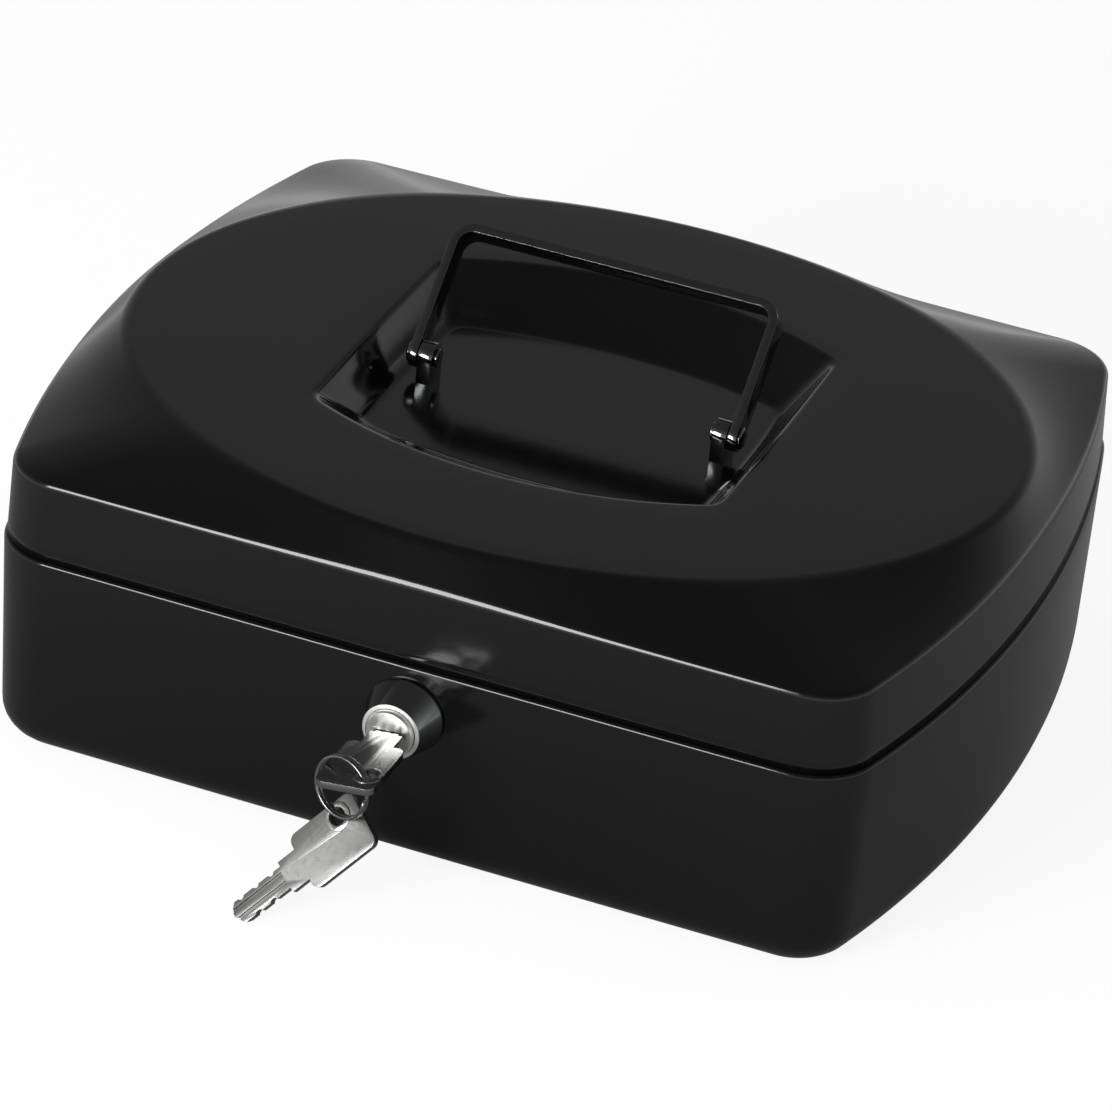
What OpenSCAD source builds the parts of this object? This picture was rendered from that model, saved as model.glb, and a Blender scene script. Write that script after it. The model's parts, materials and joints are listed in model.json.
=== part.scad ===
// Drawn steel cash box with a recessed bail handle, a wafer cam lock, a lift-out
// coin tray and two flat keys on a split ring.
// Millimetres. +Z is up, the front with the lock faces -Y, and the origin is the
// middle of the flat bottom.

/* [Box] */
// Width over the bowed side walls
box_w = 250; // [210:1:300]
// Depth from the front wall to the rear wall
box_d = 200; // [166:1:240]
// Height of the joint between base and lid
seam_z = 56; // [50:1:70]
// Height of the lid's corner crest above the joint
crest_h = 21; // [18:0.5:26]
// Height of the lid's flat top above the corner crest
crown_h = 9; // [8:0.5:14]
// How far each side wall bows outwards
side_bow = 15.5; // [8:0.5:20]
// How far the front and rear walls bow outwards
front_bow = 0.3; // [0.2:0.1:3]
// Radius of the upright corners
corner_r = 17.5; // [12:0.5:22]
// Radius round the bottom edge
bottom_r = 9; // [5:0.5:12]
// How far the walls lean in at the bottom
wall_draft = 1; // [0.2:0.1:2]
// Thickness of the sheet
sheet = 0.8; // [0.6:0.1:1.2]

/* [Rim] */
// Height of the inner rim that stands up inside the lid
rim_h = 7.5; // [5:0.5:9]
// How far the lid's skirt stands inside the base's outer face
skirt_in = 0.7; // [0.5:0.1:2]
// Air between the lid's skirt and the inner rim
skirt_gap = 1.2; // [0.5:0.1:1.2]
// Open joint between the base's shoulder and the lid's skirt
seam_gap = 0.4; // [0.3:0.1:1.5]
// Radius of the base's shoulder
shoulder_r = 1; // [0.8:0.1:2.5]

/* [Top] */
// From the wall's face to the flat top, at the middle of each side
side_margin = 9; // [7:0.5:14]
// From the wall's face to the flat top, at the middle of the front and rear
front_margin = 8.5; // [7:0.5:14]
// Width of the handle well at its rim
well_w = 108; // [104:1:116]
// Depth of the handle well at its rim
well_d = 109; // [104:1:114]
// How far the front and rear edges of the well bow outwards
well_bow = 14; // [8:1:18]
// Radius of the corners of the well
well_r = 6; // [5:0.5:9]
// Depth from the flat top to the floor of the well
well_drop = 11; // [10:0.5:12]
// Width of the floor of the well
floor_w = 94; // [93:1:96]
// Depth of the floor of the well
floor_d = 73; // [70:1:76]
// How far the front and rear edges of the floor bow outwards
floor_bow = 7; // [4:1:9]
// How far from its line the crest's bend starts
crest_bend = 1.6; // [1:0.1:5]
// How far from its line the bend round the flat top starts
top_bend = 1.8; // [1:0.1:5]
// How far from its line the bend of the well's rim starts
well_bend = 1.4; // [1:0.1:3]
// How far from its line the bend round the well's floor starts
floor_bend = 3; // [1:0.1:4]

/* [Handle] */
// Width over the arms of the handle
handle_w = 88; // [86:0.5:90]
// From the pivot to the outer face of the grip
handle_reach = 35.5; // [30:0.5:36]
// Thickness of the strap
strap_t = 2.2; // [1.8:0.1:2.4]
// Width of the strap
strap_w = 7.2; // [6:0.1:7.4]
// Outer radius of the handle's bends
bend_r = 6; // [4:0.5:8]
// Lean of the handle behind the upright as it stands
handle_lean = 47; // [0:1:50]
// Height of the pivot above the floor of the well
pivot_h = 6.4; // [6:0.1:6.6]
// Thickness of each post
post_t = 3.8; // [3:0.1:4]
// Width of each post from front to back
post_w = 7.4; // [6.8:0.1:8]
// Radius of the handle's rivets
rivet_r = 1.5; // [1.2:0.1:1.8]

/* [Lock] */
// Height of the lock's axis above the bottom
lock_z = 42.3; // [38:0.1:44]
// How far the lock's head stands out of the front wall
head_l = 9; // [7:0.5:11]
// Radius of the lock's head at the wall
head_r = 10; // [9.5:0.1:11]
// Radius of the lock's head at its face
face_r = 7.5; // [7.2:0.1:8]
// Radius of the barrel behind the wall
neck_r = 8.5; // [8:0.1:8.8]
// Radius of the lock's nut over its corners
nut_r = 11.1; // [10.8:0.1:11.2]
// Radius of the plug
plug_r = 5.6; // [5.4:0.1:5.8]
// Turn of the plug short of the level, as it stands unlocked
plug_rest_turn = 6; // [0:1:8]
// Length of the cam from the plug's axis to its tip
cam_l = 14.5; // [13:0.1:15]

/* [Keys] */
// Width of a key's bow
bow_w = 15; // [14:0.1:16]
// Length of a key's bow
bow_l = 20.5; // [18:0.5:22]
// Thickness of a key
key_t = 1.8; // [1.6:0.1:2]
// Width of a key's blade
blade_w = 6; // [5.6:0.1:6.2]
// Length of a key's blade
blade_l = 17; // [15:0.5:17.5]
// Mean radius of the split ring
ring_r = 7.7; // [7.6:0.1:8]
// Thickness of the split ring's wire
wire = 1; // [0.8:0.1:1]

/* [Tray] */
// Number of coin cups
cup_count = 5; // [3:1:6]
// Number of note pockets
pocket_count = 3; // [2:1:4]
// Depth of the tray below its flange
tray_h = 37.5; // [30:0.5:40]
// Thickness of the tray's walls
tray_t = 1.6; // [1.2:0.1:2.5]

/* [Hinges] */
// From the middle of the box to the middle of each hinge
hinge_x = 68; // [50:1:80]
// Length of each hinge
hinge_l = 34; // [24:1:44]
// Radius of the hinge pins
pin_r = 1.5; // [1.2:0.1:1.8]
// Radius of the knuckles
knuckle_r = 2.9; // [2.8:0.1:3.4]

/* [Fits] */
// Air between a piece and what carries it, where it is welded or clipped on
seat = 0.3; // [0.2:0.05:0.4]
// Radial air between a turning piece and its bore
run = 0.06; // [0.03:0.01:0.1]

/* [Hidden] */

$fn = 48;
eps = 0.01;

paint = "#2b2d30";
dark_chrome = "#6d7074";
bright_chrome = "#c4c7ca";
plain_steel = "#8f9296";
tray_grey = "#3a3c40";

// Heights of the lid
crest_z = seam_z + crest_h;
top_z = crest_z + crown_h;
floor_z = top_z - well_drop;
skirt_z = seam_z + seam_gap / 2;
shoulder_z = seam_z - seam_gap / 2;
rim_top_z = seam_z + rim_h;
// Insets from the box's outer line
rim_in = skirt_in + sheet + skirt_gap;
hem_in = rim_in + 2 * sheet;
crest_in = skirt_in + sheet;

// ---- outlines -------------------------------------------------------------

// Steps of a quarter outline along the side, round the corner and along the front
side_steps = 5;
corner_steps = 8;
front_steps = 4;
quarter = side_steps + corner_steps + front_steps;

// Radius of the arc with a given half span and rise
function bow_radius(half_span, rise) = (half_span * half_span + rise * rise) / (2 * rise);

// A shape is [half width, half depth, side arc radius, front arc radius, corner radius]
function bowed_shape(w, d, side, front, r) =
    [w / 2, d / 2, bow_radius(d / 2, side), bow_radius(w / 2, front), r];
function grown(s, by) = [s[0] + by, s[1] + by, s[2] + by, s[3] + by, max(s[4] + by, 0.5)];

// Centre of the corner arc, which is tangent inside both bowed arcs
function corner_centre(s) =
    let (cx = s[0] - s[2], cy = s[1] - s[3], r1 = s[2] - s[4], r2 = s[3] - s[4],
        span = norm([cx, cy]), a = (r1 * r1 - r2 * r2 + span * span) / (2 * span),
        h = sqrt(r1 * r1 - a * a), u = [-cx, cy] / span)
    [cx, 0] + u * a + [-u[1], u[0]] * h;

// Quarter outline from the middle of the right side to the middle of the rear
function quarter_points(s) =
    let (c = corner_centre(s), side_x = s[0] - s[2], front_y = s[1] - s[3],
        a1 = atan2(c[1], c[0] - side_x), a2 = atan2(c[1] - front_y, c[0]))
    concat(
        [for (i = [0:side_steps - 1]) let (a = a1 * i / side_steps)
            [side_x + s[2] * cos(a), s[2] * sin(a)]],
        [for (i = [0:corner_steps - 1]) let (a = a1 + (a2 - a1) * i / corner_steps)
            c + s[4] * [cos(a), sin(a)]],
        [for (i = [0:front_steps]) let (a = a2 + (90 - a2) * i / front_steps)
            [s[3] * cos(a), front_y + s[3] * sin(a)]]);

function outline(s) =
    let (q = quarter_points(s), n = quarter)
    concat(
        [for (i = [0:n - 1]) q[i]],
        [for (i = [n:-1:1]) [-q[i][0], q[i][1]]],
        [for (i = [0:n - 1]) -q[i]],
        [for (i = [n:-1:1]) [q[i][0], -q[i][1]]]);

box_shape = bowed_shape(box_w, box_d, side_bow, front_bow, corner_r);
well_shape = bowed_shape(well_w, well_d, 0.4, well_bow, well_r);
floor_shape = bowed_shape(floor_w, floor_d, 2, floor_bow, well_r);
box_line = outline(box_shape);
points_round = len(box_line);

function at_height(line, z) = [for (p = line) [p[0], p[1], z]];
function inset_loop(inset, z) = at_height(outline(grown(box_shape, -inset)), z);
function scaled_loop(loop, k) = [for (p = loop) [p[0] * k, p[1] * k, p[2]]];

// The flat top's edge, an ellipse whose points match the outline's
function top_loop(inset, z) =
    [for (p = box_line)
        let (a = atan2(p[1] / (box_d / 2), p[0] / (box_w / 2)))
        [(box_w / 2 - side_margin - inset) * cos(a), (box_d / 2 - front_margin - inset) * sin(a), z]];

// Point at a fixed distance from a towards b, and a rounded bend at b on the way from a to c
function towards(a, b, dist) = a + (b - a) * min(dist / norm(b - a), 0.45);
function bend(a, b, c, t) = a * (1 - t) * (1 - t) + b * 2 * t * (1 - t) + c * t * t;
function bend_loops(before, at, after, dist, steps) =
    [for (k = [0:steps])
        [for (j = [0:points_round - 1])
            bend(towards(at[j], before[j], dist), at[j], towards(at[j], after[j], dist), k / steps)]];

// Solid between a first and a last flat loop, skinned through all loops between
module loft(loops) {
    n = len(loops[0]);
    last = len(loops) - 1;
    polyhedron(
        points = [for (loop = loops) each loop],
        faces = concat(
            [[for (j = [0:n - 1]) n - 1 - j]],
            [for (k = [0:last - 1], j = [0:n - 1]) let (m = (j + 1) % n)
                [k * n + j, k * n + m, (k + 1) * n + m]],
            [for (k = [0:last - 1], j = [0:n - 1]) let (m = (j + 1) % n)
                [k * n + j, (k + 1) * n + m, (k + 1) * n + j]],
            [[for (j = [0:n - 1]) last * n + j]]));
}

// Cylinder along +X or +Y, from a point
module rod_x(r, l) { rotate([0, 90, 0]) cylinder(h = l, r = r); }
module rod_y(r, l) { rotate([-90, 0, 0]) cylinder(h = l, r = r); }

// Flat shape with rounded corners, exact
module rounded(w, d, r) {
    square([w - 2 * r, d], center = true);
    square([w, d - 2 * r], center = true);
    for (sx = [-1, 1], sy = [-1, 1])
        translate([sx * (w / 2 - r), sy * (d / 2 - r)]) circle(r = r);
}

// ---- base -------------------------------------------------------------------

arc_steps = 4;
function quarter_arc(k) = 90 * k / arc_steps;

// Loops from the inner floor up the inside, over the hemmed rim and down the outside
function base_loops() =
    let (r = bottom_r, ri = bottom_r - sheet, c = wall_draft + bottom_r)
    concat(
        [for (k = [0:arc_steps]) let (a = quarter_arc(k))
            inset_loop(c - ri * sin(a), r - ri * cos(a))],
        [inset_loop(sheet + 0.15, shoulder_z - shoulder_r - 2 * sheet),
            inset_loop(rim_in + sheet, shoulder_z - sheet),
            inset_loop(rim_in + sheet, shoulder_z + 1),
            inset_loop(hem_in, shoulder_z + 1.4),
            inset_loop(hem_in, rim_top_z - sheet / 2),
            inset_loop(hem_in - sheet / 2, rim_top_z),
            inset_loop(rim_in + sheet / 2, rim_top_z),
            inset_loop(rim_in, rim_top_z - sheet / 2),
            inset_loop(rim_in, shoulder_z + 0.1)],
        [for (k = [arc_steps:-1:0]) let (a = quarter_arc(k))
            inset_loop(shoulder_r * (1 - cos(a)), shoulder_z - shoulder_r * (1 - sin(a)))],
        [for (k = [arc_steps:-1:0]) let (a = quarter_arc(k))
            inset_loop(c - r * sin(a), r - r * cos(a))]);

module base_shell() {
    color(paint)
    difference() {
        loft(base_loops());
        translate([0, -box_d / 2 - 5, lock_z]) rod_y(neck_r + seat / 2, 15);
    }
}

// ---- lid --------------------------------------------------------------------

// The four lines that the lid's skin bends round, for a skin t inside the outer face
function crest_line(t) = inset_loop(crest_in + t, crest_z - 0.6 * t);
function top_line(t) = top_loop(0.5 * t, top_z - t);
function well_line(t) = at_height(outline(grown(well_shape, 0.7 * t)), top_z - t);
function floor_line(t) = at_height(outline(grown(floor_shape, 0.4 * t)), floor_z - t);
function skirt_line(t) = inset_loop(skirt_in + t, skirt_z);

// Loops from the middle of the well's floor out to the skirt's edge
function lid_skin(t) =
    let (f = floor_line(t), w = well_line(t), e = top_line(t), c = crest_line(t), s = skirt_line(t))
    concat(
        [scaled_loop(f, 0.9)],
        bend_loops(scaled_loop(f, 0.9), f, w, floor_bend, 3),
        bend_loops(f, w, e, well_bend, 2),
        bend_loops(w, e, c, top_bend, 3),
        bend_loops(e, c, s, crest_bend, 3),
        [s]);

function reversed(list) = [for (i = [len(list) - 1:-1:0]) list[i]];

// Holes for the posts' tenons through the floor of the well
module tenon_holes() {
    for (side = [-1, 1], s = [-1, 1])
        translate([side * post_x, s * tenon_y, floor_z - 5]) cylinder(h = 10, r = tenon_r + run);
}

module lid_shell() {
    color(paint)
    difference() {
        loft(concat(lid_skin(0), reversed(lid_skin(sheet))));
        tenon_holes();
    }
}

// ---- handle -----------------------------------------------------------------

pivot_z = floor_z + pivot_h;
arm_gap = 0.4;
post_out = handle_w / 2 - strap_t - arm_gap;
post_x = post_out - post_t / 2;
post_top_r = post_w / 2;
tenon_r = 1.2;
tenon_y = 2.2;
backing_t = 1.2;
peen_t = 0.8;

// Post with a half-round top about the pivot, on two tenons that are peened below
module handle_post(side) {
    under = floor_z - sheet - backing_t;
    color(dark_chrome)
    difference() {
        union() {
            translate([side * post_x - post_t / 2, 0, pivot_z]) rod_x(post_top_r, post_t);
            translate([side * post_x - post_t / 2, -post_w / 2, floor_z]) cube([post_t, post_w, pivot_h]);
            for (s = [-1, 1]) translate([side * post_x, s * tenon_y, 0]) {
                translate([0, 0, under - peen_t]) cylinder(h = floor_z + 1 - under + peen_t, r = tenon_r);
                translate([0, 0, under - peen_t]) cylinder(h = peen_t, r = tenon_r + 0.6);
            }
        }
        translate([side * post_x - post_t, 0, pivot_z]) rod_x(rivet_r + run, 2 * post_t);
    }
}

module post_backing_plates() {
    color(plain_steel)
    for (side = [-1, 1])
        translate([side * post_x, 0, floor_z - sheet - backing_t])
        difference() {
            linear_extrude(backing_t) rounded(post_t + 5, post_w + 4, 2);
            for (s = [-1, 1]) translate([0, s * tenon_y, -1]) cylinder(h = backing_t + 2, r = tenon_r + run);
        }
}

rivet_head_r = 2.9;
rivet_head_t = 1.1;

// Rivet through the post and the arm, with a low domed head outside
module handle_rivet(side) {
    inner = post_out - post_t - 0.1;
    outer = handle_w / 2 + seat;
    color(dark_chrome)
    translate([0, 0, pivot_z]) rotate([0, side * 90, 0]) rotate_extrude() polygon(concat(
        [[0, inner - peen_t], [rivet_r + 0.9, inner - peen_t], [rivet_r + 0.9, inner],
            [rivet_r, inner], [rivet_r, outer], [rivet_head_r, outer]],
        [for (a = [20:14:90]) [rivet_head_r * cos(a), outer + rivet_head_t * sin(a)]],
        [[0, outer + rivet_head_t]]));
}

// Flat arch standing on the pivot line, as a solid in the handle's own frame
module arch(w, h, r, depth) {
    rotate([90, 0, 0]) translate([0, 0, -depth / 2]) linear_extrude(depth) {
        translate([-w / 2, -strap_w]) square([w, h + strap_w - r]);
        translate([-w / 2 + r, 0]) square([w - 2 * r, h]);
        for (s = [-1, 1]) translate([s * (w / 2 - r), h - r]) circle(r = r);
    }
}

// Bail of flat strap with round arm ends, bored for its rivets
module handle() {
    color(dark_chrome)
    translate([0, 0, pivot_z]) rotate([-handle_lean, 0, 0])
    difference() {
        arch(handle_w, handle_reach, bend_r, strap_w);
        translate([0, 0, -1]) arch(handle_w - 2 * strap_t, handle_reach - strap_t + 1, bend_r - strap_t, strap_w + 2);
        difference() {
            translate([-handle_w, -strap_w, -2 * strap_w]) cube([2 * handle_w, 2 * strap_w, 2 * strap_w]);
            translate([-handle_w - 1, 0, 0]) rod_x(strap_w / 2, 2 * handle_w + 2);
        }
        translate([-handle_w, 0, 0]) rod_x(rivet_r + run, 2 * handle_w);
    }
}

// ---- hinges -----------------------------------------------------------------

axis_y = box_d / 2 + knuckle_r + seat;
axis_z = seam_z + 0.4;
leaf_t = 1;
leaf_h = 15;
knuckle_gap = 0.25;
knuckle_l = hinge_l / 3;

module knuckle(from, to) {
    translate([from, axis_y, axis_z]) rod_x(knuckle_r, to - from);
}

module pin_bore() { translate([-hinge_l, axis_y, axis_z]) rod_x(pin_r + run, 2 * hinge_l); }

// Leaf welded to the rear wall, with the two outer knuckles
module hinge_base_leaf(side) {
    color(paint)
    translate([side * hinge_x, 0, 0])
    difference() {
        union() {
            translate([-hinge_l / 2, box_d / 2 + seat, axis_z - leaf_h])
                cube([hinge_l, leaf_t, leaf_h - knuckle_r - knuckle_gap]);
            for (from = [-hinge_l / 2, knuckle_l / 2 + knuckle_gap]) {
                knuckle(from, from + knuckle_l - knuckle_gap);
                translate([from, box_d / 2 + seat, axis_z - leaf_h])
                    cube([knuckle_l - knuckle_gap, leaf_t, leaf_h]);
            }
        }
        pin_bore();
    }
}

// Leaf welded to the lid's rear skirt, with the middle knuckle
module hinge_lid_leaf(side) {
    face_y = box_d / 2 - skirt_in + seat;
    web_z = 1.4;
    color(paint)
    translate([side * hinge_x, 0, 0])
    difference() {
        union() {
            knuckle(-knuckle_l / 2, knuckle_l / 2);
            translate([-hinge_l / 2, face_y, axis_z + web_z]) cube([hinge_l, leaf_t, leaf_h - 1]);
            translate([-knuckle_l / 2, face_y, axis_z + web_z]) cube([knuckle_l, axis_y - face_y, leaf_t]);
        }
        pin_bore();
    }
}

module hinge_pin(side) {
    color(plain_steel)
    translate([side * hinge_x - hinge_l / 2 - 0.4, axis_y, axis_z]) {
        rod_x(pin_r, hinge_l + 0.8);
        translate([-0.8, 0, 0]) rod_x(pin_r + 0.7, 0.8);
    }
}

// ---- lock -------------------------------------------------------------------

wall_y = -box_d / 2;
face_y = wall_y - head_l;
plug_face_y = face_y - 1.3;
neck_end_y = wall_y + 10;
flange_r = plug_r + 0.6;
flange_end_y = face_y + 1.2;
cam_t = 1.5;
cam_y = neck_end_y + 0.4;
tail_end_y = cam_y + cam_t - 0.1;
tail_w = 6;

module on_lock_axis() { translate([0, 0, lock_z]) children(); }
module at_rest_turn() { on_lock_axis() rotate([0, -plug_rest_turn, 0]) children(); }

// Body of revolution about the lock's axis, from [radius, y] points
module turned(points) {
    rotate([-90, 0, 0]) rotate_extrude() polygon(points);
}

module lock_housing() {
    bore = plug_r + run;
    color(dark_chrome)
    on_lock_axis()
    turned([
        [bore, neck_end_y], [bore, flange_end_y + 0.15], [flange_r + run, flange_end_y + 0.15],
        [flange_r + run, face_y], [face_r - 0.5, face_y], [face_r, face_y + 0.5],
        [head_r - 0.2, wall_y - 1], [head_r, wall_y - 0.7], [head_r, wall_y - 0.1],
        [neck_r, wall_y - 0.1], [neck_r, neck_end_y - 0.6], [neck_r - 0.6, neck_end_y]]);
}

// Hexagonal nut that clamps the housing to the front wall
module lock_nut() {
    nut_t = 3.2;
    color(plain_steel)
    translate([0, wall_y + sheet + wall_draft / 2 + seat, lock_z]) rotate([-90, 0, 0])
    difference() {
        cylinder(h = nut_t, r = nut_r, $fn = 6);
        translate([0, 0, -1]) cylinder(h = nut_t + 2, r = neck_r + run);
    }
}

wafer_count = 5;
wafer_pitch = 2.5;
wafer_t = 1;
wafer_w = 7.4;
wafer_y = face_y + 3.4;
keyway_w = blade_w + 0.5;
keyway_t = key_t + 0.4;

module lock_plug() {
    color(bright_chrome)
    at_rest_turn()
    difference() {
        union() {
            turned([
                [0, neck_end_y + 0.1], [0, plug_face_y], [flange_r - 0.4, plug_face_y],
                [flange_r, plug_face_y + 0.4], [flange_r, flange_end_y], [plug_r, flange_end_y],
                [plug_r, neck_end_y + 0.1]]);
            translate([-tail_w / 2, neck_end_y, -tail_w / 2]) cube([tail_w, tail_end_y - neck_end_y, tail_w]);
        }
        translate([-keyway_w / 2, plug_face_y - 1, -keyway_t / 2])
            cube([keyway_w, blade_l + 3, keyway_t]);
        for (k = [0:wafer_count - 1])
            translate([-plug_r - 1, wafer_y + k * wafer_pitch - wafer_t / 2 - 0.15, -wafer_w / 2 - 0.15])
            cube([2 * plug_r + 2, wafer_t + 0.3, wafer_w + 0.3]);
        translate([0, tail_end_y - screw_l, 0]) rod_y(screw_r + run, screw_l + 1);
    }
}

// Five slotted plates that ride in the plug, each with its window at its own place
module lock_wafers() {
    color("goldenrod")
    at_rest_turn()
    for (k = [0:wafer_count - 1])
        translate([0, wafer_y + k * wafer_pitch - wafer_t / 2, 0])
        difference() {
            intersection() {
                rod_y(plug_r - 0.1, wafer_t);
                translate([-plug_r, -1, -wafer_w / 2]) cube([2 * plug_r, wafer_t + 2, wafer_w]);
            }
            translate([-blade_w / 2 - 0.25, -1, -keyway_t / 2 - 0.1])
                cube([blade_w + 0.5, wafer_t + 2, keyway_t + 0.2]);
        }
}

screw_r = 1.5;
screw_l = 6;

// Flat arm on the plug's square tail, which stands up when the lock is open
module lock_cam() {
    cam_w = 9;
    tip_w = 6;
    color(plain_steel)
    at_rest_turn()
    translate([0, cam_y, 0]) rotate([90, 0, 0]) translate([0, 0, -cam_t])
    difference() {
        linear_extrude(cam_t) {
            circle(r = cam_w / 2 + 1);
            translate([-tip_w / 2, 0]) square([tip_w, cam_l - 1]);
            translate([-tip_w / 2 + 1, 0]) square([tip_w - 2, cam_l]);
            for (s = [-1, 1]) translate([s * (tip_w / 2 - 1), cam_l - 1]) circle(r = 1);
        }
        translate([0, 0, cam_t / 2]) cube([tail_w + 0.2, tail_w + 0.2, cam_t + 2], center = true);
    }
}

module cam_screw() {
    head_y = cam_y + cam_t + 0.05;
    color(plain_steel)
    at_rest_turn()
    difference() {
        turned([[0, tail_end_y - screw_l + 1], [screw_r, tail_end_y - screw_l + 1], [screw_r, head_y],
            [4.4, head_y], [4.4, head_y + 0.8], [3.4, head_y + 1.8], [0, head_y + 1.8]]);
        translate([-0.4, head_y + 1, -5]) cube([0.8, 2, 10]);
    }
}

strike_t = 1.2;

// Bracket inside the lid, whose ledge the cam turns over when the lock is shut
module lock_strike() {
    x0 = 9;
    w = 13;
    foot_y = wall_y + skirt_in + 2 * sheet + seat;
    foot_z = rim_top_z + 2.2;
    foot_h = 5.6;
    plate_y = cam_y + cam_t + 2.9;
    ledge_top = lock_z - 3.6;
    color(plain_steel)
    translate([x0, 0, 0]) {
        translate([0, foot_y, foot_z]) cube([w, strike_t, foot_h]);
        translate([0, foot_y, foot_z]) cube([w, plate_y + strike_t - foot_y, strike_t]);
        translate([0, plate_y, ledge_top - strike_t]) cube([w, strike_t, foot_z + strike_t - ledge_top + strike_t]);
        translate([0, cam_y - 1.1, ledge_top - strike_t]) cube([w, plate_y - cam_y + 1.1 + eps, strike_t]);
    }
}

// ---- keys -------------------------------------------------------------------

key_hole_r = 2.3;
key_hole_x = 4;
key_hole_end = 6;
key_shoulder_w = 8.4;
key_shoulder_l = 5.5;
key_collar_r = 3.6;
key_corner_r = 2.2;
groove_w = 0.8;
groove_t = 0.45;

// Flat key, its blade along +Y from the origin at the bow's inner end
module key() {
    tip_y = key_shoulder_l + blade_l;
    hole = [key_hole_x, key_hole_end - bow_l];
    difference() {
        union() {
            translate([0, -bow_l / 2, -key_t / 2]) linear_extrude(key_t) rounded(bow_w, bow_l, key_corner_r);
            translate([-key_shoulder_w / 2, -2, -key_t / 2]) cube([key_shoulder_w, key_shoulder_l + 2, key_t]);
            translate([0, 0, -key_t / 2]) linear_extrude(key_t) polygon([
                [-blade_w / 2, 0], [blade_w / 2, 0], [blade_w / 2, tip_y - 1.6], [blade_w / 2 - 1.6, tip_y],
                [-blade_w / 2 + 1.6, tip_y], [-blade_w / 2, tip_y - 1.6]]);
            translate([hole[0], hole[1], -key_t / 2 - 0.35]) cylinder(h = key_t + 0.7, r = key_collar_r);
        }
        translate([hole[0], hole[1], -5]) cylinder(h = 10, r = key_hole_r);
        for (x = [-1.1, 1.3], s = [-1, 1])
            translate([x - groove_w / 2, key_shoulder_l + 0.5, s * key_t / 2 - groove_t])
            cube([groove_w, blade_l, 2 * groove_t]);
        // Shallow cuts along both edges of the blade
        for (k = [0:wafer_count - 1])
            translate([(k % 2 == 0 ? 1 : -1) * (blade_w / 2 + 0.5), key_shoulder_l + 3.2 + k * wafer_pitch, 0])
            cylinder(h = 5, r = 1.1, center = true);
    }
}

key_bow_y = plug_face_y - 1 - key_shoulder_l;

module key_in_lock() {
    color(bright_chrome)
    at_rest_turn() translate([0, key_bow_y, 0]) key();
}

// Eye of the key in the lock, from which the ring and the spare key are placed
eye = [key_hole_x * cos(plug_rest_turn), key_bow_y - bow_l + key_hole_end,
    lock_z + key_hole_x * sin(plug_rest_turn)];
ring_from_eye = [-6.6, 0.7, -4.5];
ring_turn = [-94, 0, -17.5];
spare_eye_from_eye = [-7.2, 1.9, -13.7];
// Heading, and roll about its own length, of the spare key as it leans on the table
spare_heading = 108.5;
spare_roll = -46;
spare_reach = bow_l - key_hole_end + key_shoulder_l + blade_l;
spare_eye = eye + spare_eye_from_eye;
tip_rest = 1.6;
spare_pitch = asin((spare_eye[2] - tip_rest) / spare_reach);

ring_steps = 26;
ring_sides = 8;

// Split ring, two turns of round wire side by side
module key_ring() {
    pitch = wire + 0.06;
    turns = 1.94;
    n = round(ring_steps * turns);
    points = [for (i = [0:n], j = [0:ring_sides - 1])
        let (a = 360 * turns * i / n, b = 360 * j / ring_sides, r = ring_r + wire / 2 * cos(b))
        [r * cos(a), r * sin(a), pitch * (turns * i / n - turns / 2) + wire / 2 * sin(b)]];
    color(bright_chrome)
    translate(eye + ring_from_eye) rotate(ring_turn)
    polyhedron(points, concat(
        [[for (j = [0:ring_sides - 1]) j]],
        [for (i = [0:n - 1], j = [0:ring_sides - 1]) let (m = (j + 1) % ring_sides, p = i * ring_sides)
            [p + j, p + ring_sides + j, p + m]],
        [for (i = [0:n - 1], j = [0:ring_sides - 1]) let (m = (j + 1) % ring_sides, p = i * ring_sides)
            [p + m, p + ring_sides + j, p + ring_sides + m]],
        [[for (j = [ring_sides - 1:-1:0]) n * ring_sides + j]]));
}

module spare_key() {
    color(bright_chrome)
    translate(spare_eye) rotate([0, 0, spare_heading]) rotate([-spare_pitch, 0, 0]) rotate([0, spare_roll, 0])
    translate([-key_hole_x, bow_l - key_hole_end, 0]) key();
}

// ---- coin tray --------------------------------------------------------------

tray_flange_z = rim_top_z + seat;
tray_top_z = tray_flange_z + tray_t;
tray_bottom_z = tray_flange_z - tray_h;
// The flange's edge stands in from the rim by flange_in, and rests on the hem;
// the walls have the tray's play inside the hem
flange_in = 0.8;
tray_play = 0.6;
// The tray is rounder than the box, so it rests on the hem along the middle of each side
tray_round = 8;
tray_side_bow = side_bow + 3;
tray_front_bow = front_bow + 1.7;
tray_shape = bowed_shape(box_w, box_d, tray_side_bow, tray_front_bow, corner_r + tray_round);
tray_in = hem_in + tray_play;
tray_span = box_w - 2 * (tray_in + side_bow + tray_t);
cup_front_y = wall_y + 24;
cup_rear_y = wall_y + 92;
pocket_rear_y = box_d / 2 - tray_in - tray_t - 3;
scoop_r = 45;
pocket_r = 4;
lock_notch_w = 52;

// Block with a scooped underside, as wide as asked; t grows it all round from the hollow
module scoop(w, t) {
    half = (cup_rear_y - cup_front_y) / 2;
    centre_z = tray_bottom_z + tray_t + scoop_r;
    side_z = centre_z - sqrt(pow(scoop_r + t, 2) - pow(half + t, 2));
    translate([-w / 2 - t, cup_front_y + half, 0]) {
        intersection() {
            translate([0, 0, centre_z]) rod_x(scoop_r + t, w + 2 * t);
            translate([0, -half - t, 0]) cube([w + 2 * t, 2 * (half + t), tray_flange_z]);
        }
        translate([0, -half - t, side_z]) cube([w + 2 * t, 2 * (half + t), tray_top_z + 1 - side_z]);
    }
}

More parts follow.
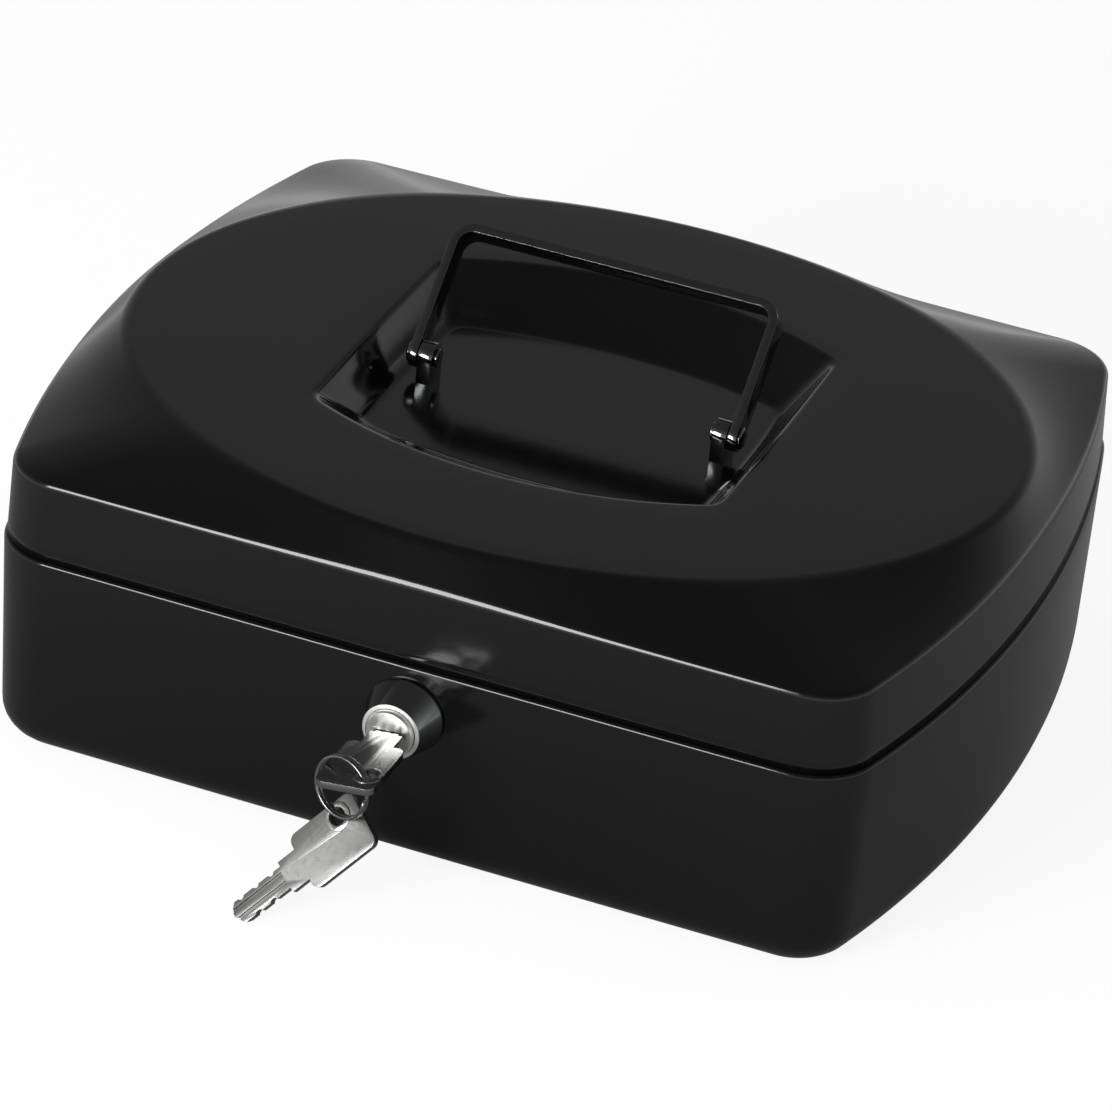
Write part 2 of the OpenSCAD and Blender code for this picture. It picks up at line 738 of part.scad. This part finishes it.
// Block for a flat pocket with rounded upright corners
module pocket(w, t) {
    d = pocket_rear_y - cup_rear_y - tray_t;
    translate([0, pocket_rear_y - d / 2, tray_bottom_z + tray_t - t])
        linear_extrude(tray_h + tray_t + 1) rounded(w + 2 * t, d + 2 * t, pocket_r + t);
}

function cell(count) = (tray_span - (count - 1) * tray_t) / count;
module in_row(count) {
    for (k = [0:count - 1]) translate([(k - (count - 1) / 2) * (cell(count) + tray_t), 0, 0]) children();
}

module coin_tray() {
    color(tray_grey)
    difference() {
        union() {
            translate([0, 0, tray_flange_z]) linear_extrude(tray_t)
                polygon(outline(grown(tray_shape, -rim_in - flange_in)));
            intersection() {
                translate([0, 0, tray_bottom_z - 1]) linear_extrude(tray_h + 1 + tray_t / 2)
                    polygon(outline(grown(tray_shape, -tray_in)));
                union() {
                    scoop(tray_span, tray_t);
                    pocket(tray_span, tray_t);
                }
            }
        }
        in_row(cup_count) scoop(cell(cup_count), 0);
        intersection() {
            in_row(pocket_count) pocket(cell(pocket_count), 0);
            translate([0, 0, tray_bottom_z]) linear_extrude(2 * tray_h)
                polygon(outline(grown(tray_shape, -tray_in - tray_t)));
        }
        translate([-lock_notch_w / 2, wall_y, tray_flange_z - 1])
            cube([lock_notch_w, cup_front_y - tray_t - wall_y - 1, tray_t + 2]);
    }
}

base_shell();
hinge_base_leaf(-1);  // hinge_base_leaf_left
hinge_base_leaf(1);  // hinge_base_leaf_right
hinge_pin(-1);  // hinge_pin_left
hinge_pin(1);  // hinge_pin_right
lock_housing();
lock_nut();
lid_shell();
hinge_lid_leaf(-1);  // hinge_lid_leaf_left
hinge_lid_leaf(1);  // hinge_lid_leaf_right
lock_strike();
handle_post(-1);  // handle_post_left
handle_post(1);  // handle_post_right
post_backing_plates();
handle_rivet(-1);  // handle_rivet_left
handle_rivet(1);  // handle_rivet_right
handle();
coin_tray();
lock_plug();
lock_wafers();
lock_cam();
cam_screw();
key_in_lock();
key_ring();
spare_key();
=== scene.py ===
"""A drawn steel cash box: the finish of every piece, the light and the camera.

Pieces are modelled in millimetres, in the frame's own axes, and written in metres.
"""
import json
import math

import bmesh
import bpy
from mathutils import Matrix, Vector

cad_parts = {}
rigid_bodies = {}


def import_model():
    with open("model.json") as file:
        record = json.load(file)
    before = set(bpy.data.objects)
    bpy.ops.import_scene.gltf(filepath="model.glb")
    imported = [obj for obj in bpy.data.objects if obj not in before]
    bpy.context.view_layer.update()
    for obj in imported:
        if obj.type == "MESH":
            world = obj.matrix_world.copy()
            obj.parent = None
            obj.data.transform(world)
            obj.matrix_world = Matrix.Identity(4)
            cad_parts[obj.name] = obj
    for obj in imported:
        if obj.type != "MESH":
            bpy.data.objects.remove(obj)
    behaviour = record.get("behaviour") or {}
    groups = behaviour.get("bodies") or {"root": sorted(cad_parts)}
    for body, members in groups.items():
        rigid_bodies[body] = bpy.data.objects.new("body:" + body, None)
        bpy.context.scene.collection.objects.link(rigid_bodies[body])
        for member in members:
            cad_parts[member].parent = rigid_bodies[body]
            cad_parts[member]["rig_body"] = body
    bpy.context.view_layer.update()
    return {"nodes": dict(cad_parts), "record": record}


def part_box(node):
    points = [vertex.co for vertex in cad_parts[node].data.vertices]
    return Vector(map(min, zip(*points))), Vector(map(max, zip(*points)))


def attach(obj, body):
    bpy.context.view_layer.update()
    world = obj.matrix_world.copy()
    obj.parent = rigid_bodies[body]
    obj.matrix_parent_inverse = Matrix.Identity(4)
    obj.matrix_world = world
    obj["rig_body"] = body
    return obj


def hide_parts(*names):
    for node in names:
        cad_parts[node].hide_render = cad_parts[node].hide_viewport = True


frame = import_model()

MM = 0.001
NODES = frame["nodes"]


def corners(node):
    """Lowest and highest corner of a node, in millimetres."""
    low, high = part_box(node)
    return low / MM, high / MM


# ---- camera -------------------------------------------------------------------

# Degrees, and millimetres for the aim and the distance
AZIMUTH = 19.833
ELEVATION = 30.399
ROLL = 4.969
AIM = Vector((-0.45, -2.69, 35.95))
DISTANCE = 1658.9
LENS = 213.58
SENSOR = 36


def add_camera():
    """The camera looks down at the front from the right."""
    azimuth, elevation, roll = (math.radians(a) for a in (AZIMUTH, ELEVATION, ROLL))
    turn = (Matrix.Rotation(azimuth, 4, "Z") @ Matrix.Rotation(math.pi / 2 - elevation, 4, "X")
            @ Matrix.Rotation(roll, 4, "Z"))
    place = (AIM + turn.to_3x3() @ Vector((0, 0, DISTANCE))) * MM
    data = bpy.data.cameras.new("camera")
    data.lens = LENS
    data.sensor_width = SENSOR
    data.clip_start = 0.05
    data.clip_end = 50
    camera = bpy.data.objects.new("camera", data)
    camera.matrix_world = Matrix.Translation(place) @ turn
    bpy.context.scene.collection.objects.link(camera)
    bpy.context.scene.camera = camera


add_camera()


# ---- finishes -----------------------------------------------------------------

class Wire:
    """An output of a node, on which shader maths is written as Python sums."""

    def __init__(self, nodes, node, output):
        self.nodes = nodes
        self.node = node
        self.socket = node.outputs[output] if len(node.outputs) else None

    def maths(self, operation, first, second):
        return self.nodes.node("ShaderNodeMath", {"operation": operation}, {0: first, 1: second})

    def __add__(self, other):
        return self.maths("ADD", self, other)

    def __sub__(self, other):
        return self.maths("SUBTRACT", self, other)

    def __rsub__(self, other):
        return self.maths("SUBTRACT", other, self)

    def __mul__(self, other):
        return self.maths("MULTIPLY", self, other)

    def __pow__(self, other):
        return self.maths("POWER", self, other)

    __radd__ = __add__
    __rmul__ = __mul__


class Nodes:
    """The nodes of a material or a world, none at first."""

    def __init__(self, owner):
        owner.use_nodes = True
        self.tree = owner.node_tree
        self.tree.nodes.clear()

    def feed(self, socket, value):
        if isinstance(value, Wire):
            self.tree.links.new(value.socket, socket)
        else:
            socket.default_value = value

    def node(self, kind, settings=None, sockets=None, output=0):
        made = self.tree.nodes.new(kind)
        for name, value in (settings or {}).items():
            setattr(made, name, value)
        for name, value in (sockets or {}).items():
            self.feed(made.inputs[name], value)
        return Wire(self, made, output)

    def rays(self, *kinds):
        """1 on rays of these kinds and 0 on all others."""
        first, *others = (
            self.node("ShaderNodeLightPath", output=f"Is {kind} Ray") for kind in kinds)
        return sum(others, first)


class Finish(Nodes):
    """A material with one principled shader."""

    def __init__(self, name, **values):
        self.material = bpy.data.materials.new(name)
        super().__init__(self.material)
        self.shader = self.node("ShaderNodeBsdfPrincipled")
        self.node("ShaderNodeOutputMaterial", {}, {"Surface": self.shader})
        self.set(**values)

    def set(self, **values):
        """Gives the shader's sockets their values or wires, Base_Color for Base Color."""
        for name, value in values.items():
            self.feed(self.shader.node.inputs[name.replace("_", " ")], value)

    def place(self):
        """Position on the piece, in metres."""
        return self.node("ShaderNodeTexCoord", output="Object")

    def noise(self, size_mm, detail=2, where=None):
        """Cloudy pattern from 0 to 1, whose lumps have about this size."""
        return self.node("ShaderNodeTexNoise", {}, {
            "Vector": where or self.place(),
            "Scale": 1 / (size_mm * MM),
            "Detail": detail}, output="Fac")

    def stretched(self, x, y, z):
        """Position squeezed along each axis, for brushed and drawn marks."""
        return self.node("ShaderNodeMapping", {}, {"Vector": self.place(), "Scale": (x, y, z)})

    def tint(self, factor, dark, light):
        """Colour between two others, each a colour or a wire, by a factor."""
        first, second = (c if isinstance(c, Wire) else c + (1,) for c in (dark, light))
        return self.node("ShaderNodeMix", {"data_type": "RGBA"}, {
            "Factor": factor, "A": first, "B": second}, output="Result")

    def beyond(self, operation, y):
        """1 in front of a plane across the depth, LESS_THAN, or behind it, GREATER_THAN."""
        along = self.node("ShaderNodeSeparateXYZ", {}, {"Vector": self.place()}, output="Y")
        return along.maths(operation, along, y * MM)

    def bump(self, height, depth_mm):
        """Normal of a surface whose height runs from 0 to this depth."""
        return self.node("ShaderNodeBump", {}, {
            "Height": height, "Distance": depth_mm * MM, "Strength": 1})


# The lock's face and its plug get the brightest metal colour, partly a brighter finish and partly a
# painted highlight of the front lamp, and its cone and the keys are darker
LOCK_FACE_Y = corners("lock_housing")[0].y
FACE_DEPTH = 0.2
PLUG_STANDS_OUT = 1.6


def black_paint():
    paint = Finish("black_paint", Specular_IOR_Level=0.5)
    grain = paint.noise(0.5, 2)
    peel = paint.noise(5, 1)
    cloud = paint.noise(60, 2)
    paint.set(
        Base_Color=paint.tint(grain, (0.0035, 0.0036, 0.0038), (0.0075, 0.0077, 0.008)),
        Roughness=grain * 0.05 + cloud * 0.03 + 0.08,
        Normal=paint.bump(grain * 0.6 + peel, 0.008))
    return paint.material


def dark_chrome():
    chrome = Finish("dark_chrome", Metallic=1)
    haze = chrome.noise(1.5, 3)
    # The lock's face is brighter metal, lifted to near white as a painted highlight of the front
    # lamp, and it is rougher so it catches that lamp
    bright_face_and_painted_highlight = chrome.beyond("LESS_THAN", LOCK_FACE_Y + FACE_DEPTH)
    plated = chrome.tint(haze, (0.2, 0.205, 0.21), (0.24, 0.245, 0.25))
    chrome.set(
        Base_Color=chrome.tint(bright_face_and_painted_highlight, plated, (0.85, 0.85, 0.84)),
        Roughness=haze * 0.05 + bright_face_and_painted_highlight * 0.4 + 0.06,
        Normal=chrome.bump(chrome.noise(3, 1), 0.004))
    return chrome.material


def bright_nickel():
    nickel = Finish("bright_nickel", Metallic=1)
    haze = nickel.noise(1.2, 3)
    drawn = nickel.noise(0.25, 1)
    # Nickel behind a plane PLUG_STANDS_OUT in front of the lock's face, the plug included, is
    # brighter metal, lifted to near white as a painted highlight of the front lamp; what stands out
    # in front keeps the darker tone
    bright_plug_and_painted_highlight = nickel.beyond("GREATER_THAN", LOCK_FACE_Y - PLUG_STANDS_OUT)
    worn = nickel.tint(haze, (0.24, 0.24, 0.235), (0.28, 0.28, 0.275))
    nickel.set(
        Base_Color=nickel.tint(bright_plug_and_painted_highlight, worn, (0.85, 0.85, 0.83)),
        Roughness=haze * 0.1 + 0.24,
        Normal=nickel.bump(drawn, 0.003))
    return nickel.material


def plain_steel():
    steel = Finish("plain_steel", Metallic=1)
    spangle = steel.noise(4, 3)
    drawn = steel.noise(1, 2, steel.stretched(12, 1, 1))
    steel.set(
        Base_Color=steel.tint(spangle, (0.42, 0.43, 0.44), (0.62, 0.63, 0.64)),
        Roughness=drawn * 0.12 + spangle * 0.1 + 0.26,
        Normal=steel.bump(drawn, 0.006))
    return steel.material


def brass():
    metal = Finish("brass", Metallic=1)
    stain = metal.noise(2, 3)
    metal.set(
        Base_Color=metal.tint(stain, (0.6, 0.43, 0.18), (0.78, 0.6, 0.3)),
        Roughness=stain * 0.15 + 0.25,
        Normal=metal.bump(metal.noise(0.4, 2), 0.004))
    return metal.material


def tray_plastic():
    plastic = Finish("tray_plastic")
    spark = plastic.noise(0.35, 1)
    cloud = plastic.noise(30, 2)
    plastic.set(
        Base_Color=plastic.tint(cloud, (0.012, 0.0122, 0.013), (0.018, 0.0185, 0.02)),
        Roughness=spark * 0.1 + 0.4,
        Normal=plastic.bump(spark, 0.03))
    return plastic.material


FINISHES = {make.__name__: make() for make in (
    black_paint, dark_chrome, bright_nickel, plain_steel, brass, tray_plastic)}
SLOT_OF = {s["node"]: s["material_slot"] for s in frame["record"]["subparts"]}


# ---- making pieces --------------------------------------------------------------

# Edges turned by more than this many degrees are rounded, and faces turned by less are joined
SHARP_FROM = 35
FLAT_BELOW = 0.5
ROUNDING_STEPS = 3
# Points closer than this are one point
SAME_POINT = 0.002


def finish_piece(bm, node, bevel=0.0):
    """Writes a mesh in millimetres as the piece that stands for a node, in metres."""
    bmesh.ops.scale(bm, vec=(MM, MM, MM), verts=bm.verts)
    mesh = bpy.data.meshes.new(node + "_piece")
    for face in bm.faces:
        face.smooth = True
    bm.to_mesh(mesh)
    bm.free()
    piece = bpy.data.objects.new(mesh.name, mesh)
    bpy.context.scene.collection.objects.link(piece)
    if bevel:
        round_edges(piece, bevel)
    dress(piece, SLOT_OF[node])
    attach(piece, NODES[node]["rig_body"])
    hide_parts(node)
    return piece


def round_edges(piece, width):
    """Rounds every sharp edge of a piece, width in millimetres."""
    rounding = piece.modifiers.new("rounding", "BEVEL")
    rounding.width = width * MM
    rounding.segments = ROUNDING_STEPS
    rounding.limit_method = "ANGLE"
    rounding.angle_limit = math.radians(SHARP_FROM)
    rounding.harden_normals = True


def dress(piece, slot):
    """Gives a piece the finish of its material slot."""
    piece.data.materials.clear()
    piece.data.materials.append(FINISHES[slot])


def copy_of(node):
    """A node's mesh in millimetres, with its triangles joined and its flat faces whole."""
    bm = bmesh.new()
    bm.from_mesh(NODES[node].data)
    bmesh.ops.scale(bm, vec=(1 / MM, 1 / MM, 1 / MM), verts=bm.verts)
    bmesh.ops.remove_doubles(bm, verts=bm.verts, dist=SAME_POINT)
    bmesh.ops.dissolve_limit(
        bm, angle_limit=math.radians(FLAT_BELOW), verts=bm.verts, edges=bm.edges)
    return bm


# ---- outlines -------------------------------------------------------------------

# Steps along each part of a quarter of an outline
SIDE_STEPS = 16
CORNER_STEPS = 14
FRONT_STEPS = 16
QUARTER = SIDE_STEPS + CORNER_STEPS + FRONT_STEPS
SMALLEST_R = 0.5
# Shares of the way to the next ring, and of the floor's outline
LONGEST_BEND = 0.45
MIDDLE_SHARE = 0.9


class Shape:
    """A closed outline of four bowed sides joined by round corners."""

    def __init__(self, width, depth, side_bow, front_bow, corner):
        self.half_w = width / 2
        self.half_d = depth / 2
        self.side_r = self.bow_radius(depth / 2, side_bow)
        self.front_r = self.bow_radius(width / 2, front_bow)
        self.corner_r = corner

    @staticmethod
    def bow_radius(half_span, rise):
        """Radius of an arc that rises this far over half its span."""
        return (half_span ** 2 + rise ** 2) / (2 * rise)

    def grown(self, by):
        """The same outline moved outwards by a distance."""
        made = Shape.__new__(Shape)
        made.half_w = self.half_w + by
        made.half_d = self.half_d + by
        made.side_r = self.side_r + by
        made.front_r = self.front_r + by
        made.corner_r = max(self.corner_r + by, SMALLEST_R)
        return made

    def corner_centre(self):
        """Centre of the corner's arc, which meets both bowed sides without a kink."""
        cx = self.half_w - self.side_r
        cy = self.half_d - self.front_r
        to_side = self.side_r - self.corner_r
        to_front = self.front_r - self.corner_r
        span = math.hypot(cx, cy)
        along = (to_side ** 2 - to_front ** 2 + span ** 2) / (2 * span)
        across = math.sqrt(to_side ** 2 - along ** 2)
        direction = Vector((-cx, cy)) / span
        return Vector((cx, 0)) + direction * along + Vector((-direction.y, direction.x)) * across

    def quarter(self):
        """Points from the middle of the right side to the middle of the rear."""
        centre = self.corner_centre()
        side_x = self.half_w - self.side_r
        front_y = self.half_d - self.front_r
        first = math.atan2(centre.y, centre.x - side_x)
        last = math.atan2(centre.y - front_y, centre.x)

        def arc(x, y, radius, start, end, steps, count):
            angles = [start + (end - start) * i / steps for i in range(count)]
            return [Vector((x + radius * math.cos(a), y + radius * math.sin(a))) for a in angles]

        return (arc(side_x, 0, self.side_r, 0, first, SIDE_STEPS, SIDE_STEPS)
                + arc(centre.x, centre.y, self.corner_r, first, last, CORNER_STEPS, CORNER_STEPS)
                + arc(0, front_y, self.front_r, last, math.pi / 2, FRONT_STEPS, FRONT_STEPS + 1))

    def points(self):
        """Points all the way round, from the middle of the right side."""
        q = self.quarter()
        n = QUARTER
        return (q[:n] + [Vector((-q[i].x, q[i].y)) for i in range(n, 0, -1)]
                + [-p for p in q[:n]] + [Vector((q[i].x, -q[i].y)) for i in range(n, 0, -1)])


# Sizes in millimetres; a name that ends in Z is a height above the flat bottom
BASE_LOW, BASE_HIGH = corners("base_shell")
LID_LOW, LID_HIGH = corners("lid_shell")
BOX_W = BASE_HIGH.x - BASE_LOW.x
BOX_D = BASE_HIGH.y - BASE_LOW.y
SHEET = 0.8
SIDE_BOW = 15.5
FRONT_BOW = 0.3
CORNER_R = 17.5
SEAM_GAP = 0.4
SKIRT_IN = 0.7
SKIRT_GAP = 1.2
SKIRT_Z = LID_LOW.z
SHOULDER_Z = SKIRT_Z - SEAM_GAP
SHOULDER_R = 1
RIM_TOP = BASE_HIGH.z
RIM_IN = SKIRT_IN + SHEET + SKIRT_GAP
HEM_IN = RIM_IN + 2 * SHEET
BOTTOM_R = 9
WALL_DRAFT = 1
LIP_STEPS = 12
WALL_LEAN = 0.15
RIM_FOOT = 0.1
HEM_LOW = 1
HEM_CURL = 0.4
TOP_Z = LID_HIGH.z
CROWN_H = 9
CREST_Z = TOP_Z - CROWN_H
CREST_IN = SKIRT_IN + SHEET
WELL_DROP = 11
FLOOR_Z = TOP_Z - WELL_DROP
SIDE_MARGIN = 9
FRONT_MARGIN = 8.5
FLOOR_BEND = 3
WELL_BEND = 1.4
TOP_BEND = 1.8
CREST_BEND = 1.6
BOX = Shape(BOX_W, BOX_D, SIDE_BOW, FRONT_BOW, CORNER_R)
WELL = Shape(108, 109, 0.4, 14, 6)
FLOOR = Shape(94, 73, 2, 7, 6)


def at_height(points, z):
    return [Vector((p.x, p.y, z)) for p in points]


def inset(distance, z):
    """The box's outline moved inwards, as a ring at a height."""
    return at_height(BOX.grown(-distance).points(), z)


def top_edge():
    """Edge of the flat top, an ellipse whose points match the box's outline."""
    half_w = BOX_W / 2 - SIDE_MARGIN
    half_d = BOX_D / 2 - FRONT_MARGIN
    angles = [math.atan2(p.y / BOX_D, p.x / BOX_W) for p in BOX.points()]
    return [Vector((half_w * math.cos(a), half_d * math.sin(a), TOP_Z)) for a in angles]


def towards(a, b, distance):
    """A point on the way from a to b, never so far that two bends meet."""
    return a + (b - a) * min(distance / (b - a).length, LONGEST_BEND)


def bent(before, at, after, radius, steps):
    """Rings that round the bend at one ring, on the way from the ring before to the ring after."""
    rings = []
    for k in range(steps + 1):
        t = k / steps
        rings.append([
            towards(b, a, radius) * (1 - t) ** 2
            + b * 2 * t * (1 - t)
            + towards(b, c, radius) * t ** 2
            for a, b, c in zip(before, at, after)])
    return rings


def between(first, last, steps):
    """Rings part way between two rings."""
    return [[a.lerp(b, k / steps) for a, b in zip(first, last)] for k in range(1, steps)]


def joined(*runs, steps=6):
    """Runs of rings one after another, with rings part way between each two runs."""
    rings = list(runs[0])
    for run in runs[1:]:
        rings += between(rings[-1], run[0], steps) + run
    return rings


def skin(rings):
    """A mesh drawn from ring to ring; each ring is pulled out of the one before."""
    bm = bmesh.new()
    place = bm.verts.layers.int.new("place")
    ring = bmesh.ops.create_circle(bm, segments=len(rings[0]), radius=1)["verts"]
    for i, vert in enumerate(ring):
        vert[place] = i
        vert.co = rings[0][i]
    edges = bm.edges[:]
    for points in rings[1:]:
        pulled = bmesh.ops.extrude_edge_only(bm, edges=edges)["geom"]
        edges = [e for e in pulled if isinstance(e, bmesh.types.BMEdge)]
        for vert in (v for v in pulled if isinstance(v, bmesh.types.BMVert)):
            vert.co = points[vert[place]]
    return bm


def close_ends(bm):
    """Fills every open ring with a flat face and turns all faces outwards."""
    open_edges = [e for e in bm.edges if e.is_boundary]
    bmesh.ops.holes_fill(bm, edges=open_edges, sides=0)
    bmesh.ops.recalc_face_normals(bm, faces=bm.faces)


# ---- shells ---------------------------------------------------------------------

def quarter_turns(steps):
    return [math.pi / 2 * k / steps for k in range(steps + 1)]


def base_shell():
    """Drawn base with a shoulder and a hemmed rim that stands up inside the lid."""
    turns = quarter_turns(8)

    def bottom(radius):
        foot = WALL_DRAFT + BOTTOM_R
        return [inset(foot - radius * math.sin(a), BOTTOM_R - radius * math.cos(a)) for a in turns]

    shoulder = [
        inset(SHOULDER_R * (1 - math.cos(a)), SHOULDER_Z - SHOULDER_R * (1 - math.sin(a)))
        for a in reversed(turns)]
    lip = [
        inset(HEM_IN - SHEET + SHEET * math.cos(a), RIM_TOP - SHEET + SHEET * math.sin(a))
        for a in (math.pi * k / LIP_STEPS for k in range(LIP_STEPS + 1))]
    inside = [
        [inset(SHEET + WALL_LEAN, SHOULDER_Z - SHOULDER_R - 2 * SHEET)],
        [inset(RIM_IN + SHEET, SHOULDER_Z - SHEET)],
        [inset(RIM_IN + SHEET, SHOULDER_Z + HEM_LOW)],
        [inset(HEM_IN, SHOULDER_Z + HEM_LOW + HEM_CURL)]]
    outside = [inset(RIM_IN, SHOULDER_Z + RIM_FOOT)]
    bm = skin(joined(
        bottom(BOTTOM_R - SHEET), *inside, lip, outside, shoulder, bottom(BOTTOM_R)[::-1], steps=3))
    close_ends(bm)
    return finish_piece(bm, "base_shell")


def lid_shell():
    """Drawn lid: the well, the flat top, the crown's slope and the skirt."""
    well = at_height(WELL.points(), TOP_Z)
    floor = at_height(FLOOR.points(), FLOOR_Z)
    middle = [Vector((p.x * MIDDLE_SHARE, p.y * MIDDLE_SHARE, p.z)) for p in floor]
    top = top_edge()
    crest = inset(CREST_IN, CREST_Z)
    skirt = inset(SKIRT_IN, SKIRT_Z)
    rings = joined(
        [middle],
        bent(middle, floor, well, FLOOR_BEND, 8),
        bent(floor, well, top, WELL_BEND, 8),
        bent(well, top, crest, TOP_BEND, 10),
        bent(top, crest, skirt, CREST_BEND, 12),
        [skirt])
    bm = skin(rings)
    open_edges = [e for e in bm.edges if e.is_boundary]
    floor_edges = [e for e in open_edges if all(v.co.z > SKIRT_Z + 1 for v in e.verts)]
    bmesh.ops.holes_fill(bm, edges=floor_edges, sides=0)
    bmesh.ops.recalc_face_normals(bm, faces=bm.faces)
    if max(bm.faces, key=lambda f: f.calc_area()).normal.z < 0:
        bmesh.ops.reverse_faces(bm, faces=bm.faces)
    piece = finish_piece(bm, "lid_shell")
    wall = piece.modifiers.new("sheet", "SOLIDIFY")
    wall.thickness = SHEET * MM
    wall.offset = -1
    wall.use_even_offset = True
    return piece


# ---- lock -----------------------------------------------------------------------

HEAD_LOW, HEAD_HIGH = corners("lock_housing")
HEAD_R = (HEAD_HIGH.x - HEAD_LOW.x) / 2
NECK_END_Y = HEAD_HIGH.y
LOCK_Z = (HEAD_LOW.z + HEAD_HIGH.z) / 2
WALL_Y = -BOX_D / 2
NECK_R = 8.5
FACE_R = 7.5
BARREL_R = 5.66
RECESS_R = 6.26
RECESS_DEPTH = 1.35
RECESS_EDGE = 0.15
NECK_EDGE = 0.6
WALL_AIR = 0.1
ROUND_STEPS = 96


def around_lock(radius, y):
    """A ring about the lock's axis."""
    angles = [2 * math.pi * k / ROUND_STEPS for k in range(ROUND_STEPS)]
    return [Vector((radius * math.cos(a), y, LOCK_Z + radius * math.sin(a))) for a in angles]


def lock_housing():
    """The barrel with its conical head, whose bright face has a turned edge."""
    profile = [
        (BARREL_R, NECK_END_Y),
        (BARREL_R, LOCK_FACE_Y + RECESS_DEPTH),
        (RECESS_R, LOCK_FACE_Y + RECESS_DEPTH),
        (RECESS_R, LOCK_FACE_Y + RECESS_EDGE),
        (RECESS_R + RECESS_EDGE, LOCK_FACE_Y),
        (FACE_R - 0.5, LOCK_FACE_Y),
        (FACE_R - 0.2, LOCK_FACE_Y + 0.08),
        (FACE_R, LOCK_FACE_Y + 0.35),
        (HEAD_R - 0.25, WALL_Y - 1.2),
        (HEAD_R - 0.06, WALL_Y - 0.95),
        (HEAD_R, WALL_Y - 0.7),
        (HEAD_R, WALL_Y - WALL_AIR),
        (NECK_R, WALL_Y - WALL_AIR),
        (NECK_R, NECK_END_Y - NECK_EDGE),
        (NECK_R - NECK_EDGE, NECK_END_Y)]
    bm = skin([around_lock(r, y) for r, y in profile + profile[:1]])
    bmesh.ops.remove_doubles(bm, verts=bm.verts, dist=0.001)
    bmesh.ops.recalc_face_normals(bm, faces=bm.faces)
    return finish_piece(bm, "lock_housing", 0.05)


base_shell()
lid_shell()
lock_housing()

# Width of the rounding on the sharp edges of each other piece
EDGES = {
    "handle": 1, "handle_post_left": 0.25, "handle_post_right": 0.25,
    "handle_rivet_left": 0.15, "handle_rivet_right": 0.15, "post_backing_plates": 0.15,
    "lock_plug": 0.12, "lock_nut": 0.25, "lock_cam": 0.15, "cam_screw": 0.12,
    "lock_strike": 0.15, "lock_wafers": 0.05, "key_in_lock": 0.15, "spare_key": 0.15,
    "hinge_base_leaf_left": 0.15, "hinge_base_leaf_right": 0.15, "hinge_lid_leaf_left": 0.15,
    "hinge_lid_leaf_right": 0.15, "hinge_pin_left": 0.15, "hinge_pin_right": 0.15,
    "coin_tray": 0.4, "key_ring": 0}

for node, width in EDGES.items():
    finish_piece(copy_of(node), node, width)


# ---- light and stage --------------------------------------------------------------

WHITE = 1.0
OVERHEAD = 0.1
HORIZON_FALL = 2.2
AMBIENT = 0.3
FLOOR_GREY = 0.3
FLOOR_GLOW = 0.88
# Metres; from GLOW_FROM outwards the floor is as bright in reflections as to the camera
FLOOR_HALF = 6
GLOW_FROM = 1
GLOW_RISE = 1.15
LAMP_AIM = Vector((0, 0, 0.04))


def floor_material():
    """White to the eye and far off in reflections, with a matt grey that takes light and shadow."""
    material = bpy.data.materials.new("floor")
    nodes = Nodes(material)
    grey = (FLOOR_GREY, FLOOR_GREY, FLOOR_GREY, 1)
    matt = nodes.node("ShaderNodeBsdfDiffuse", {}, {"Color": grey})
    place = nodes.node("ShaderNodeTexCoord", output="Object")
    distance = nodes.node(
        "ShaderNodeVectorMath", {"operation": "LENGTH"}, {0: place}, output="Value")
    spread = distance.maths("MINIMUM", distance, GLOW_FROM) ** GLOW_RISE
    reflected = spread * nodes.rays("Glossy", "Transmission")
    glow = nodes.node("ShaderNodeEmission", {}, {
        "Strength": (nodes.rays("Camera") + reflected) * FLOOR_GLOW})
    both = nodes.node("ShaderNodeAddShader", {}, {0: matt, 1: glow})
    nodes.node("ShaderNodeOutputMaterial", {}, {"Surface": both})
    return material


def add_floor():
    bm = bmesh.new()
    bmesh.ops.create_grid(bm, x_segments=1, y_segments=1, size=FLOOR_HALF)
    mesh = bpy.data.meshes.new("floor")
    bm.to_mesh(mesh)
    bm.free()
    floor = bpy.data.objects.new("floor", mesh)
    floor.data.materials.append(floor_material())
    bpy.context.scene.collection.objects.link(floor)


def add_world():
    """A room that is white at the horizon and dim overhead, and gives a plain light."""
    world = bpy.data.worlds.new("world")
    bpy.context.scene.world = world
    nodes = Nodes(world)
    direction = nodes.node("ShaderNodeTexCoord", output="Generated")
    height = nodes.node("ShaderNodeSeparateXYZ", {}, {"Vector": direction}, output="Z")
    height = height.maths("MAXIMUM", height, 0)
    room = (1 - height) ** HORIZON_FALL * (WHITE - OVERHEAD) + OVERHEAD
    strength = nodes.rays("Camera", "Glossy", "Transmission") * (room - AMBIENT) + AMBIENT
    background = nodes.node("ShaderNodeBackground", {}, {"Strength": strength})
    nodes.node("ShaderNodeOutputWorld", {}, {"Surface": background})


def add_lamp(name, azimuth, elevation, distance, width, height, radiance):
    """A soft box aimed at the box; radiance is its brightness, with 1 as white."""
    azimuth, elevation = math.radians(azimuth), math.radians(elevation)
    turn = Matrix.Rotation(azimuth, 4, "Z") @ Matrix.Rotation(math.pi / 2 - elevation, 4, "X")
    data = bpy.data.lights.new(name, "AREA")
    data.shape = "RECTANGLE"
    data.size = width
    data.size_y = height
    data.energy = radiance * math.pi * width * height
    lamp = bpy.data.objects.new(name, data)
    place = turn.to_3x3() @ Vector((0, 0, distance)) + LAMP_AIM
    lamp.matrix_world = Matrix.Translation(place) @ turn
    bpy.context.scene.collection.objects.link(lamp)


add_floor()
add_world()
add_lamp(
    "front_box", azimuth=-20, elevation=14, distance=1.3, width=0.5, height=0.45, radiance=14)

bpy.context.scene.view_settings.view_transform = "Standard"
